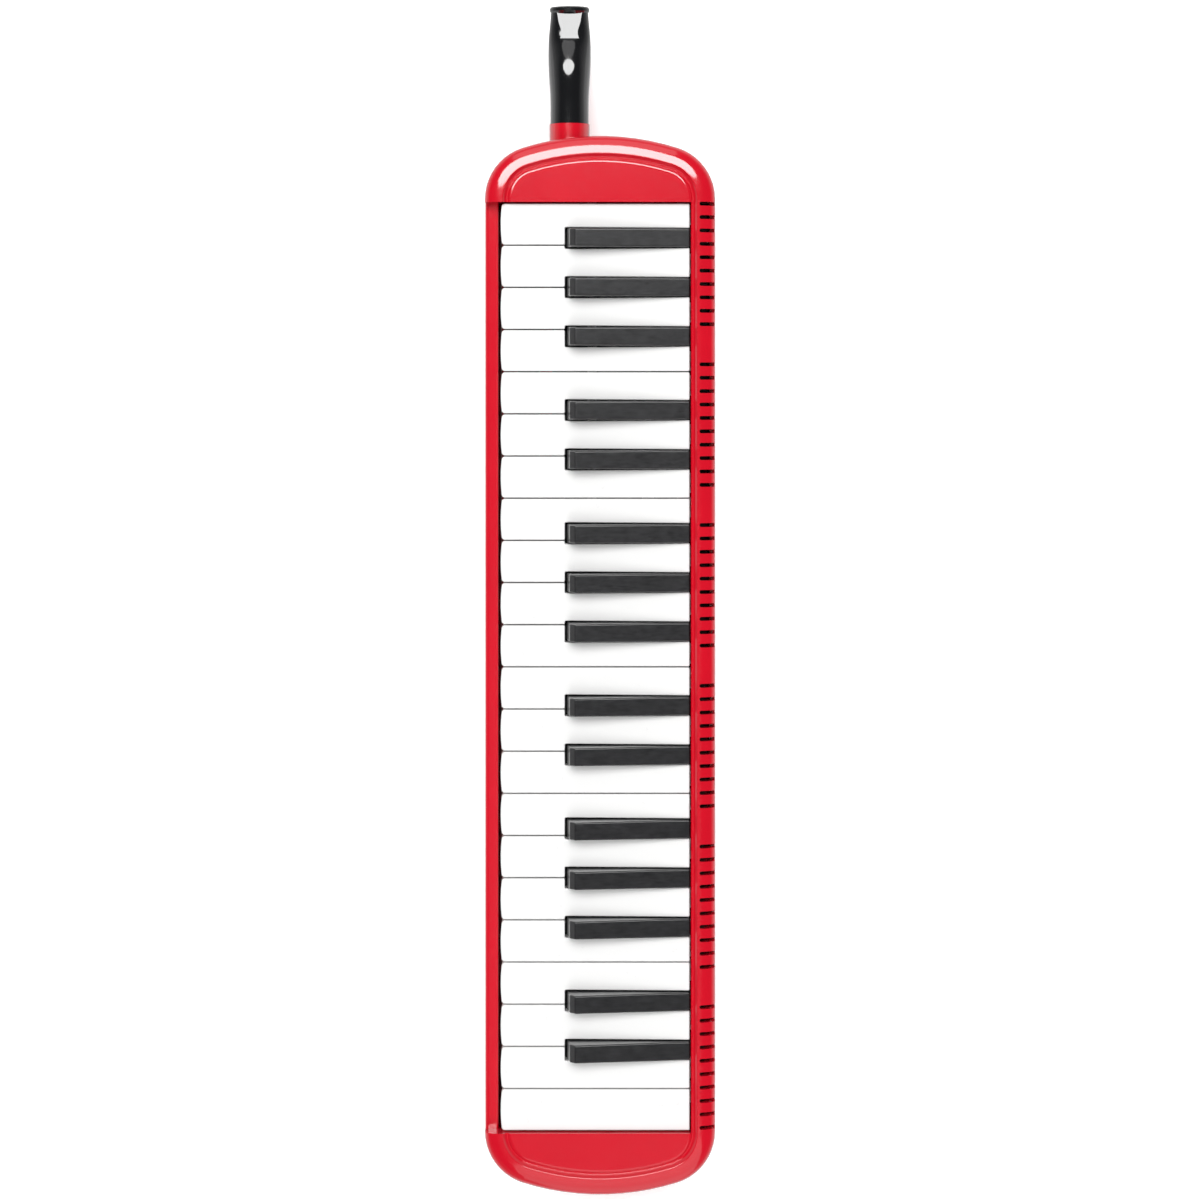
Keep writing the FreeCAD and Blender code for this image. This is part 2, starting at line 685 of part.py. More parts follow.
def make_mouthpiece():
    stations = (
        (0, 8.9, 8.2), (4.3, 8.85, 8.32), (8.6, 8.85, 8.5), (12.9, 8.95, 8.78), (17.2, 9.2, 9.15),
        (21.5, 9.5, 9.4), (25.8, 9.7, 9.15), (30.1, 9.8, 8.15), (34.4, 9.75, 6.75), (38.7, 9.6, 5.35),
        (43, 9.3, 4.7), (47.3, 8.9, 4.7), (51.4, 8.6, 4.7),
    )
    skin = loft("mouthpiece_skin", [oval(f"oval_{i}", *station) for i, station in enumerate(stations, 1)])
    rim_sections = ((50.9, 8.3, 4.4), (52, 9.1, 5.6), (53.2, 9.15, 5.65), ("mouth_length", 8.6, 5.1))
    rim = loft("mouthpiece_rim", [oval(f"rim_{i}", *station) for i, station in enumerate(rim_sections, 1)])
    rim.Ruled = True
    tool = new_body("facet_tool")
    facet = profile(sketch_on(tool, "facet_section", "XZ", "-mouth_across - 12"), [
        ("-socket_end - mouth_length - 1", "mouth_height + facet_tip_height"),
        ("-socket_end - facet_start", "mouth_height + facet_height"),
        ("-socket_end - facet_start + 3.5", "mouth_height + facet_height + 2.5"),
        ("-socket_end - facet_start + 3.5", "mouth_height + 12"),
        ("-socket_end - mouth_length - 1", "mouth_height + 12"),
    ])
    pad(tool, "facet_block", facet, 24)
    faceted = cut("mouthpiece_faceted", skin, tool)
    spigot = rod("spigot", "X", "socket_bore - running_gap", "spigot_length", "-socket_end",
                 "mouth_across", "mouth_height")
    solid = fuse("mouthpiece_solid", [faceted, rim, spigot])
    air_sections = (
        ("-spigot_length - 1", 5, 5), (10, 5, 5), (36, 5, 3.4), ("mouth_length + 0.1", 5.4, 2.3),
    )
    air = loft("mouthpiece_air", [oval(f"air_{i}", *station) for i, station in enumerate(air_sections, 1)])
    air.Ruled = True
    seal_place = "-socket_end + 9"
    groove_outer = rod("groove_outer", "X", "socket_bore + 1", "groove_width",
                       f"{seal_place} - groove_width / 2", "mouth_across", "mouth_height")
    groove_inner = rod("groove_inner", "X", "socket_bore - 1.2", "groove_width + 1",
                       f"{seal_place} - (groove_width + 1) / 2", "mouth_across", "mouth_height")
    groove = cut("seal_groove", groove_outer, groove_inner)
    piece = cut("mouthpiece", solid, fuse("mouthpiece_cuts", [air, groove]))
    seal = doc.addObject("Part::Torus", "mouthpiece_seal")
    seal.Placement = FreeCAD.Placement(V(), FreeCAD.Rotation(V(0, 1, 0), 90))
    bind(seal, "Radius1", "socket_bore - seal_section_radius - 0.07")
    bind(seal, "Radius2", "seal_section_radius")
    bind(seal, "Placement.Base.x", seal_place)
    bind(seal, "Placement.Base.y", "mouth_across")
    bind(seal, "Placement.Base.z", "mouth_height")
    return piece, seal


# ---------------------------------------------------------------- reed chamber


def screw_positions():
    """Expressions for the places of the chamber screws along X."""
    return [f"({i} - 4.5) * chamber_screw_pitch" for i in range(10)]


def chamber_holes(body, name, top, depth):
    plan = sketch_on(body, name + "_plan", "XY", top)
    for along in screw_positions():
        circle(plan, along, "chamber_front + front_wall / 2", "chamber_screw_radius + running_gap")
    pocket(body, name, plan, depth)


def chamber_rectangle(body, name, height):
    return rectangle(sketch_on(body, name, "XY", height),
                     "-chamber_half", "chamber_half", "chamber_front", "chamber_rear")


def inner_rectangle(body, name, height):
    return rectangle(sketch_on(body, name, "XY", height),
                     "-chamber_half + end_wall", "chamber_half - end_wall",
                     "chamber_front + front_wall", "chamber_rear - rear_wall")


def make_chamber_body():
    body = new_body("chamber_body")
    pad(body, "tray_block", chamber_rectangle(body, "tray_plan", "chamber_bottom"),
        "gasket_bottom - chamber_bottom")
    pocket(body, "tray_room", inner_rectangle(body, "tray_room_plan", "gasket_bottom"),
           "gasket_bottom - chamber_bottom - chamber_floor")
    port = rectangle(sketch_on(body, "tray_port_section", "YZ", "-chamber_half + end_wall + 1"),
                     "mouth_across - port_half_width", "mouth_across + port_half_width",
                     "port_bottom", "port_top")
    pocket(body, "tray_port", port, "end_wall + 2")
    chamber_holes(body, "tray_screw_holes", "gasket_bottom", 6)
    drain = sketch_on(body, "tray_drain_plan", "XY", "chamber_bottom + chamber_floor + 1")
    circle(drain, "drain_along", "drain_across", "drain_hole_radius")
    pocket(body, "tray_drain", drain, "chamber_floor + 2")
    return body


def make_gasket():
    body = new_body("chamber_gasket")
    pad(body, "gasket_sheet", chamber_rectangle(body, "gasket_plan", "gasket_bottom"),
        "cover_bottom - gasket_bottom")
    pocket(body, "gasket_room", inner_rectangle(body, "gasket_room_plan", "cover_bottom + 1"), 3)
    chamber_holes(body, "gasket_screw_holes", "cover_bottom + 1", 3)
    return body


def make_cover():
    """Cover plate: one air channel on the underside and one opening on top for every key."""
    body = new_body("chamber_cover")
    pad(body, "cover_plate", chamber_rectangle(body, "cover_plan", "cover_bottom"),
        "cover_top - cover_bottom")
    channel = rectangle(sketch_on(body, "channel_plan", "XY", "cover_bottom - 1"),
                        "first_semitone - channel_half_width", "first_semitone + channel_half_width",
                        "tongue_root - 2", "hole_rear")
    channels = pocket(body, "channel", channel, 3, True)
    pattern(body, "channels", channels, "semitone_pitch", "key_count")
    hole = rectangle(sketch_on(body, "vent_plan", "XY", "cover_top + 1"),
                     "first_semitone - vent_half_width", "first_semitone + vent_half_width",
                     "hole_front", "hole_rear")
    holes = pocket(body, "vent", hole, "cover_top - cover_bottom")
    pattern(body, "vents", holes, "semitone_pitch", "key_count")
    chamber_holes(body, "cover_screw_holes", "cover_top + 1", 6)
    return body


def make_reeds():
    """Two brass plates under the channels, with one riveted tongue over each slot."""
    under = "cover_bottom - reed_plate"
    tongues = []
    slots = []
    for i in range(int(value_of("key_count"))):
        middle = f"first_semitone + {i} * semitone_pitch"
        tip = f"tongue_root + reed_first_length - {i} * reed_step"
        slots.append(box(f"reed_slot_{i}",
                         (f"{middle} - tongue_half_width - 0.2", f"{middle} + tongue_half_width + 0.2"),
                         ("tongue_root", tip), (f"{under} - 1", "cover_bottom + 1")))
        blade = box(f"reed_blade_{i}", (f"{middle} - tongue_half_width", f"{middle} + tongue_half_width"),
                    ("tongue_root - 5", f"{tip} - 0.2"), (f"{under} - reed_thickness", under))
        rivet = rod(f"reed_rivet_{i}", "Z", 0.9, 0.7, middle, "tongue_root - 2.5",
                    f"{under} - reed_thickness - 0.5")
        tongues.append(fuse(f"reed_{i}", [blade, rivet]))
    middle_seam = "first_semitone + 18.5 * semitone_pitch"
    halves = (
        ("low", 0, 19, "-chamber_half + end_wall + 0.4", f"{middle_seam} - 0.1"),
        ("high", 19, 37, f"{middle_seam} + 0.1", "first_semitone + 36.7 * semitone_pitch"),
    )
    plates = []
    for name, first, last, left, right in halves:
        blank = box(f"reed_blank_{name}", (left, right), (-2, "chamber_rear - rear_wall - 0.2"),
                    (under, "cover_bottom"))
        plates.append(cut(f"reed_plate_{name}", blank, gather(f"reed_slots_{name}", slots[first:last])))
    return gather("reed_plates", plates), gather("reeds", tongues)


def make_chamber_screws():
    screws = []
    for i, along in enumerate(screw_positions(), 1):
        across = "chamber_front + front_wall / 2"
        head = rod(f"chamber_screw_head_{i}", "Z", "chamber_screw_radius * 2", 1, along, across, "cover_top")
        shank = rod(f"chamber_screw_shank_{i}", "Z", "chamber_screw_radius", 9, along, across,
                    "cover_top - 9")
        screws.append(fuse(f"chamber_screw_{i}", [head, shank]))
    return gather("chamber_screws", screws)


# ---------------------------------------------------------------- key action


def is_black(step):
    return step % STEPS_PER_OCTAVE in BLACK_STEPS


def semitone(step):
    """Expression for a key's place along X, where its stem and pad are."""
    return f"first_semitone + {step} * semitone_pitch"


def peg_positions():
    """Expressions for the places of the pegs that hold the spring bar, between every fifth pair of keys."""
    middle = "(spring_bar_front + spring_bar_rear) / 2"
    return [(f"{semitone(step)} + semitone_pitch / 2", middle) for step in range(0, 36, 5)]


def make_comb():
    """Comb on the chamber cover: bearings between the keys, spring pegs, and the black keys' guide blades."""
    body = new_body("key_comb")
    base = rectangle(sketch_on(body, "comb_plan", "XY", "cover_top"),
                     "first_semitone - comb_margin", "last_semitone + comb_margin",
                     "comb_front", "comb_rear")
    pad(body, "comb_plate", base, "comb_base")
    rib = profile(sketch_on(body, "rib_section", "YZ", "first_semitone - (semitone_pitch + rib_width) / 2"), [
        ("axle_across - 5", "cover_top + 0.5"),
        ("axle_across + 5", "cover_top + 0.5"),
        ("axle_across + 3.4", "rib_top", 1.5),
        ("axle_across - 3.4", "rib_top", 1.5),
    ])
    ribs = pad(body, "rib", rib, "rib_width")
    pattern(body, "ribs", ribs, "semitone_pitch", "key_count + 1")
    pegs = sketch_on(body, "peg_plan", "XY", "cover_top + 0.5")
    for along, across in peg_positions():
        circle(pegs, along, across, "peg_radius")
    pad(body, "spring_pegs", pegs, "comb_base + 0.4")
    blades = sketch_on(body, "blade_plan", "XY", "cover_top + 0.5")
    for step in range(int(value_of("key_count"))):
        if is_black(step):
            rectangle(blades, f"{semitone(step)} - 2.8", f"{semitone(step)} + 2.8", -9, -6.5)
    pad(body, "black_blades", blades, 12)
    bore = sketch_on(body, "bearing_section", "YZ", "opening_half + 2")
    circle(bore, "axle_across", "axle_height", "axle_radius")
    pocket(body, "bearings", bore, "2 * opening_half + 4")
    return body


def make_front_guide():
    """Rail under the white keys' heads, with one guide blade inside each key, and its felt stop."""
    body = new_body("front_guide")
    floor = "case_bottom + wall"
    bridge = profile(sketch_on(body, "guide_section", "YZ", "-opening_half + 3"), [
        ("guide_front", floor), ("guide_front + 2", floor),
        ("guide_front + 2", "guide_top - 2.5"), ("guide_rear - 2", "guide_top - 2.5"),
        ("guide_rear - 2", floor), ("guide_rear", floor),
        ("guide_rear", "guide_top"), ("guide_front", "guide_top"),
    ])
    pad(body, "guide_bridge", bridge, "2 * opening_half - 6")
    blade = rectangle(sketch_on(body, "guide_blade_plan", "XY", "guide_top - 1"),
                      "keys_start + white_pitch / 2 - blade_half_width",
                      "keys_start + white_pitch / 2 + blade_half_width", "blade_front", "blade_rear")
    blades = pad(body, "guide_blade", blade, "blade_top - guide_top + 1")
    pattern(body, "guide_blades", blades, "white_pitch", "white_count")
    felt = box("front_felt", ("-opening_half + 3", "opening_half - 3"), ("guide_front + 0.5", "felt_rear"),
               ("guide_top", "felt_top"))
    return body, felt


def web_corners(top_front, top_rear):
    """Side view of a key's lever web, from the spring seat past the axle to the pad's plate."""
    return [
        (3, top_front),
        (3, "spring_seat"),
        (13, "spring_seat"),
        ("axle_across - 3.4", "axle_height - 2.3"),
        ("axle_across + 3.4", "axle_height - 2.3"),
        ("pad_front", "cover_top + pad_thickness"),
        ("stem_rear", "cover_top + pad_thickness"),
        ("stem_rear", "cover_top + pad_thickness + pad_plate"),
        ("stem_rear - 3", "cover_top + pad_thickness + pad_plate + 1.5"),
        ("key_rear - 0.6", "tail_bottom + 3.5"),
        ("key_rear - 1", top_rear),
    ]


def add_action(body, tag, place, top_front, top_rear):
    """Web, hub, spring seat, pad plate and axle bore of a key whose stem is at place."""
    web = profile(sketch_on(body, tag + "_web_section", "YZ", f"{place} - stem_width / 2"),
                  web_corners(top_front, top_rear))
    pad(body, tag + "_web", web, "stem_width")
    hub = sketch_on(body, tag + "_hub_section", "YZ", f"{place} - hub_width / 2")
    circle(hub, "axle_across", "axle_height", "hub_radius")
    pad(body, tag + "_hub", hub, "hub_width")
    plate = rectangle(sketch_on(body, tag + "_plate_plan", "XY", "cover_top + pad_thickness"),
                      f"{place} - pad_width / 2", f"{place} + pad_width / 2", "pad_front", "stem_rear")
    pad(body, tag + "_plate", plate, "pad_plate")
    seat = sketch_on(body, tag + "_seat_plan", "XY", "spring_seat")
    circle(seat, place, "spring_across", 2.9)
    pad(body, tag + "_seat", seat, 1.2)
    bore = sketch_on(body, tag + "_bore_section", "YZ", f"{place} + hub_width / 2 + 1")
    circle(bore, "axle_across", "axle_height", "axle_radius + running_gap")
    pocket(body, tag + "_bore", bore, "hub_width + 2")


def soft_pad(tag, place):
    return box(tag + "_pad", (f"{place} - pad_width / 2", f"{place} + pad_width / 2"),
               ("pad_front", "stem_rear"), ("cover_top", "cover_top + pad_thickness"))


def white_plan(sketch, step, white, inset, rounding):
    """Outline of a white key in plan, with a notch beside every neighbouring black key."""
    last = int(value_of("key_count")) - 1
    start = f"keys_start + {white} * white_pitch + key_gap / 2 + {inset}"
    end = f"keys_start + {white + 1} * white_pitch - key_gap / 2 - {inset}"
    reach = "semitone_pitch - black_base_width / 2 - neighbour_gap"
    rear_reach = "semitone_pitch - black_rear_width / 2 - neighbour_gap"
    rear = f"key_rear - {inset}"
    notch = f"head_end - {inset}"
    front = f"key_front + front_bow * 0.6 + {inset}"
    nose = f"key_front - front_bow * 0.4 + {inset}"
    middle = f"keys_start + ({white} + 0.5) * white_pitch"
    curve = "front_radius" if rounding else "0"
    corner = "front_corner" if rounding else "0"
    small = "notch_corner" if rounding else "0"
    outline = [(start, front, corner), (middle, nose, curve), (end, front, corner)]
    if step < last and is_black(step + 1):
        side = f"{semitone(step)} + {reach} - {inset}"
        rear_side = f"{semitone(step)} + {rear_reach} - {inset}"
        outline += [(end, notch, small), (side, notch, small), (rear_side, rear, small)]
    else:
        outline.append((end, rear, small))
    if step > 0 and is_black(step - 1):
        side = f"{semitone(step)} - ({reach}) + {inset}"
        rear_side = f"{semitone(step)} - ({rear_reach}) + {inset}"
        outline += [(rear_side, rear, small), (side, notch, small), (start, notch, small)]
    else:
        outline.append((start, rear, small))
    return profile(sketch, outline)


def make_white_key(tag, step, white):
    body = new_body(tag + "_lever")
    plan = white_plan(sketch_on(body, tag + "_plan", "XY", "skirt_bottom"), step, white, "0", True)
    block = pad(body, tag + "_block", plan, "key_top - skirt_bottom")
    doc.recompute()
    top = value_of("key_top")
    rounding = body.newObject("PartDesign::Fillet", tag + "_edges")
    rounding.Base = (block, edge_names(block.Shape, lambda b: b.ZMin > top - 0.01))
    bind(rounding, "Radius", "key_edge")
    tail = rectangle(sketch_on(body, tag + "_tail_section", "YZ", f"{semitone(step)} - 30"),
                     "head_end", "key_rear + 2", "skirt_bottom - 1", "tail_bottom")
    pocket(body, tag + "_tail", tail, 60, True)
    room = white_plan(sketch_on(body, tag + "_room_plan", "XY", "skirt_bottom - 1"), step, white,
                      "key_wall", False)
    pocket(body, tag + "_room", room, "key_top - key_plate - skirt_bottom + 1", True)
    add_action(body, tag, semitone(step), "key_top - 1", "key_top - 1")
    return gather(tag, [body, soft_pad(tag, semitone(step))])


def black_surface(across):
    """Expression for the height of a black key's sloping top."""
    return f"black_high - ({across} - black_crest) * (black_high - black_low) / (key_rear - black_crest)"


def make_black_key(tag, step):
    place = semitone(step)
    wedge = doc.addObject("Part::Wedge", tag + "_wedge")
    wedge.Placement = FreeCAD.Placement(V(), FreeCAD.Rotation(V(1, 0, 0), 90))
    height = "black_high + 1 - tail_bottom"
    for prop, expression in (
        ("Xmin", "-black_base_width / 2"), ("Xmax", "black_base_width / 2"),
        ("X2min", "-black_top_width / 2"), ("X2max", "black_top_width / 2"),
        ("Ymin", "0"), ("Ymax", height),
        ("Zmin", "-key_rear"), ("Zmax", "20"), ("Z2min", "-key_rear"), ("Z2max", "20"),
        ("Placement.Base.x", place), ("Placement.Base.z", "tail_bottom"),
    ):
        bind(wedge, prop, expression)
    side = new_body(tag + "_side")
    outline = profile(sketch_on(side, tag + "_side_section", "YZ", f"{place} - 6"), [
        ("black_front + 0.4", "tail_bottom"),
        ("key_rear", "tail_bottom"),
        ("key_rear", "black_low", 0.6),
        ("black_crest", "black_high", 1.2),
        ("black_front + 1.4", "black_shoulder", 1),
        ("black_front", "key_top - 0.5", 3),
    ])
    pad(side, tag + "_side_block", outline, 12)
    taper = new_body(tag + "_taper")
    plan = profile(sketch_on(taper, tag + "_taper_plan", "XY", "tail_bottom"), [
        (f"{place} - black_base_width / 2", "black_front - 1"),
        (f"{place} + black_base_width / 2", "black_front - 1"),
        (f"{place} + black_rear_width / 2", "key_rear"),
        (f"{place} - black_rear_width / 2", "key_rear"),
    ])
    pad(taper, tag + "_taper_block", plan, height)
    block = doc.addObject("Part::MultiCommon", tag + "_block")
    block.Shapes = [side, wedge, taper]
    doc.recompute()
    half = value_of("black_top_width / 2")
    middle = value_of(place)
    low = value_of("tail_bottom")

    def crest_edge(b):
        """Edges that run along the top of either side wall."""
        sideways = min(abs(b.XMin - middle), abs(b.XMax - middle)) > half - 0.5
        return sideways and b.ZMin > low + 1 and b.XLength < 1.3

    rounded = doc.addObject("Part::Fillet", tag + "_rounded")
    rounded.Base = block
    radius = value_of("black_edge")
    names = edge_names(block.Shape, crest_edge)
    rounded.Edges = [(int(n[4:]), radius, radius) for n in names]
    rooms = new_body(tag + "_room")
    hollow = profile(sketch_on(rooms, tag + "_room_section", "YZ", f"{place} - 3.1"), [
        ("black_front + 2.2", "tail_bottom - 1"),
        ("key_rear - key_wall", "tail_bottom - 1"),
        ("key_rear - key_wall", f"{black_surface('key_rear')} - key_plate"),
        ("black_crest + 2", f"{black_surface('black_crest')} - key_plate - 0.6"),
        ("black_front + 2.2", "black_shoulder - 2.4"),
    ])
    pad(rooms, tag + "_room_block", hollow, 6.2)
    shell = cut(tag + "_shell", rounded, rooms)
    action = new_body(tag + "_action")
    add_action(action, tag, place, f"{black_surface(3)} - 1", f"{black_surface('key_rear')} - 1")
    lever = fuse(tag + "_lever", [shell, action])
    return gather(tag, [lever, soft_pad(tag, place)])


def key_names():
    names = []
    for step in range(int(value_of("key_count"))):
        octave = FIRST_OCTAVE + (step + 5) // STEPS_PER_OCTAVE
        colour = "black" if is_black(step) else "white"
        names.append(f"key_{step + 1:02d}_{colour}_{NOTE_NAMES[step % STEPS_PER_OCTAVE]}{octave}")
    return names


def make_keys():
    """One octave of white keys and one black key are drawn; the others repeat them further along."""
    keys = {}
    first_black = None
    originals = {}
    white = 0
    names = key_names()
    for step, name in enumerate(names):
        if is_black(step):
            if first_black is None:
                first_black = step
                keys[name] = make_black_key(name, step)
            else:
                keys[name] = shifted(name, keys[names[first_black]], f"{step - first_black} * semitone_pitch")
            continue
        turn = step % STEPS_PER_OCTAVE
        if turn in originals and step < len(names) - 1:
            octaves = step // STEPS_PER_OCTAVE
            keys[name] = shifted(name, originals[turn], f"{octaves * WHITES_PER_OCTAVE} * white_pitch")
        else:
            keys[name] = make_white_key(name, step, white)
            originals[turn] = keys[name]
        white += 1
    return keys


def make_springs():
    """Spring steel comb: one bar, held by the pegs, with a bent leaf that reaches up under every key."""
    body = new_body("key_springs")
    floor = "cover_top + comb_base"
    bar = rectangle(sketch_on(body, "spring_bar_plan", "XY", floor),
                    "first_semitone - 5", "last_semitone + 5", "spring_bar_front", "spring_bar_rear")
    pad(body, "spring_bar", bar, "leaf_thickness")
    crest = "spring_seat + 0.1"
    leaf = profile(sketch_on(body, "leaf_section", "YZ", "first_semitone - leaf_width / 2"), [
        ("spring_bar_rear - 1", floor),
        ("spring_bar_rear", floor, 1.2),
        ("spring_across", f"{crest} - leaf_thickness * 1.15", 0.8),
        ("spring_across + 2.4", f"{crest} - 0.9 - leaf_thickness"),
        ("spring_across + 2.4", f"{crest} - 0.9"),
        ("spring_across", crest, 1.2),
        ("spring_bar_rear", f"{floor} + leaf_thickness", 0.8),
        ("spring_bar_rear - 1", f"{floor} + leaf_thickness"),
    ])
    leaves = pad(body, "leaf", leaf, "leaf_width")
    pattern(body, "leaves", leaves, "semitone_pitch", "key_count")
    holes = sketch_on(body, "peg_hole_plan", "XY", f"{floor} + 1")
    for along, across in peg_positions():
        circle(holes, along, across, "peg_radius + running_gap")
    pocket(body, "peg_holes", holes, 2)
    return body


# ---------------------------------------------------------------- drain valve and strap


def coil(name, radius, wire, low, high, x, y, turns):
    """Compression spring along Z between two heights."""
    path = doc.addObject("Part::Helix", name + "_path")
    bind(path, "Radius", radius)
    bind(path, "Height", f"({high}) - ({low}) - 2 * ({wire})")
    bind(path, "Pitch", f"(({high}) - ({low}) - 2 * ({wire})) / {turns}")
    section = doc.addObject("Part::Circle", name + "_section")
    section.Placement = FreeCAD.Placement(V(), FreeCAD.Rotation(V(1, 0, 0), 90))
    bind(section, "Radius", wire)
    bind(section, "Placement.Base.x", f"{x} + ({radius})")
    for part in (path, section):
        bind(part, "Placement.Base.y", y)
        bind(part, "Placement.Base.z", f"({low}) + ({wire})")
    bind(path, "Placement.Base.x", x)
    spring = doc.addObject("Part::Sweep", name)
    spring.Sections = [section]
    spring.Spine = (path, ["Edge1"])
    spring.Solid = True
    spring.Frenet = True
    return spring


def make_drain():
    """Push button in the underside; pushed in, it lifts the seal off the chamber's drain hole."""
    x = "drain_along"
    y = "drain_across"
    floor = "case_bottom + wall"
    seat = "chamber_bottom + chamber_floor"
    parts = [
        rod("drain_cap", "Z", "drain_radius", "wall", x, y, "case_bottom + 0.4"),
        rod("drain_flange", "Z", "drain_radius + 1.4", 1, x, y, floor),
        rod("drain_stem", "Z", "drain_stem_radius", f"{seat} + 2 - ({floor})", x, y, floor),
        rod("drain_head", "Z", "drain_stem_radius + 1", 1, x, y, f"{seat} + 1.5"),
    ]
    button = fuse("drain_button", parts)
    disc = rod("drain_disc", "Z", "drain_hole_radius + 1.8", 1.5, x, y, seat)
    seal = cut("drain_seal", disc, rod("drain_disc_hole", "Z", "drain_stem_radius", 4, x, y, f"{seat} - 1"))
    spring = coil("drain_spring", 3.2, 0.35, f"{floor} + 1.02", "chamber_bottom - 0.02", x, y, 4)
    return button, seal, spring


def make_strap():
    """Hand strap across the recess in the underside, looped round a steel pin at each end."""
    pins = []
    solids = []
    holes = []
    thickness = "strap_thickness"
    outer = f"strap_pin_radius + {thickness}"
    low = f"strap_pin_height - strap_pin_radius - {thickness}"
    for side, sign in (("low", "-"), ("high", "")):
        along = f"{sign}strap_pin_along"
        pins.append(rod(f"strap_pin_{side}", "Y", "strap_pin_radius", "2 * anchor_half_width", along,
                        "strap_across - anchor_half_width", "strap_pin_height"))
        solids.append(rod(f"strap_loop_{side}", "Y", outer, "2 * strap_half_width", along,
                          "strap_across - strap_half_width", "strap_pin_height"))
        holes.append(rod(f"strap_hole_{side}", "Y", "strap_pin_radius", "2 * strap_half_width + 2", along,
                         "strap_across - strap_half_width - 1", "strap_pin_height"))
    solids.append(box("strap_band", ("-strap_pin_along", "strap_pin_along"),
                      ("strap_across - strap_half_width", "strap_across + strap_half_width"),
                      (low, f"{low} + {thickness}")))
    strap = cut("hand_strap", fuse("strap_solid", solids), fuse("strap_holes", holes))
    return strap, gather("strap_pins", pins)


# ---------------------------------------------------------------- build and export


def build():
    fill_sheet()
    nodes = {"upper_case": make_upper_case(), "lower_case": make_lower_case()}
    nodes["case_screws"], nodes["rubber_feet"] = make_case_fasteners()
    nodes["mouthpiece_socket"] = make_socket()
    nodes["mouthpiece"], nodes["mouthpiece_seal"] = make_mouthpiece()
    nodes["chamber_body"] = make_chamber_body()
    nodes["chamber_gasket"] = make_gasket()
    nodes["chamber_cover"] = make_cover()
    nodes["reed_plates"], nodes["reeds"] = make_reeds()
    nodes["chamber_screws"] = make_chamber_screws()
    nodes["key_comb"] = make_comb()
    nodes["key_axle"] = rod("key_axle", "X", "axle_radius",
                            "last_semitone - first_semitone + 2 * comb_margin",
                            "first_semitone - comb_margin", "axle_across", "axle_height")
    nodes["front_guide"], nodes["front_felt"] = make_front_guide()
    nodes["key_springs"] = make_springs()
    nodes["drain_button"], nodes["drain_seal"], nodes["drain_spring"] = make_drain()
    nodes["hand_strap"], nodes["strap_pins"] = make_strap()
    nodes.update(make_keys())
    for name, item in nodes.items():
        item.Label = name
    doc.recompute()
    return nodes


CUTS = ("PartDesign::Pocket", "PartDesign::SubtractivePipe")


def check_document():
    """Every object is up to date, every shape is valid, and every cut removes material."""
    for item in doc.Objects:
        faults = [s for s in item.State if s in ("Invalid", "Error", "Touched")]
        if faults:
            raise RuntimeError(f"{item.Name} is {faults}")
        shape = getattr(item, "Shape", None)
        if shape is None or shape.isNull() or item.isDerivedFrom("App::DatumElement"):
            continue
        if not shape.isValid():
            raise RuntimeError(f"{item.Name} has a shape that isn't valid")
        if item.TypeId in CUTS and item.BaseFeature.Shape.Volume - shape.Volume < 0.01:
            raise RuntimeError(f"{item.Name} removes nothing")


def export(nodes):
    """Each node as a STEP file, with the origin under the middle of the overall length."""
    os.makedirs("parts", exist_ok=True)
    shift = V(value_of("frame_shift"), 0, 0)
    for item in nodes:
        shape = Part.getShape(item).copy()
        if not shape.Solids or not shape.isValid():
            raise RuntimeError(f"{item.Label} has no valid solid")
        shape.translate(shift)
        shape.exportStep(f"parts/{item.Label}.step")


made = build()
check_document()
export(made.values())
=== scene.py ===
import json
import math

import bmesh
import bpy
from mathutils import Matrix, Vector


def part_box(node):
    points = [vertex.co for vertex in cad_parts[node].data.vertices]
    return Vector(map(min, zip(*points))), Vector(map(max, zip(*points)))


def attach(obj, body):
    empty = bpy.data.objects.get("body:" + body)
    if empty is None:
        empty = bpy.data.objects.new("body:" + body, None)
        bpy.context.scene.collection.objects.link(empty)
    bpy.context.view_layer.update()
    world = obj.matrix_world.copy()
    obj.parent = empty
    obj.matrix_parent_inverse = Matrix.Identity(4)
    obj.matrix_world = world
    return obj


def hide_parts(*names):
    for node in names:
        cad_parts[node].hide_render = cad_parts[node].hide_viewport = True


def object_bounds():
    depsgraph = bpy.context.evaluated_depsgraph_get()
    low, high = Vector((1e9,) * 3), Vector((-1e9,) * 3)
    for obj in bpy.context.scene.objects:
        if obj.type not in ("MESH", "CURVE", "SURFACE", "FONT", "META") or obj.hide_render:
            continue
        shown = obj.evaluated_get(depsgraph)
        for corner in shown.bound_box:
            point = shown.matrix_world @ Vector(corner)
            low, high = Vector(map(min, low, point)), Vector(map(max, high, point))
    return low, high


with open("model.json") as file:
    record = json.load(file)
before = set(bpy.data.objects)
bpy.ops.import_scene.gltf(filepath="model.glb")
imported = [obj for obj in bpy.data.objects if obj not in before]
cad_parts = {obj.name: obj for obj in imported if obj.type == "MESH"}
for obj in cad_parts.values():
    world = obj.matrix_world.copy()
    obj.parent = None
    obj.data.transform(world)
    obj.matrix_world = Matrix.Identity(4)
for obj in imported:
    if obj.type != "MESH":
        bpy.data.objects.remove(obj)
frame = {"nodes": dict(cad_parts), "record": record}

NODES = frame["nodes"]
MM = 0.001
cad_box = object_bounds()

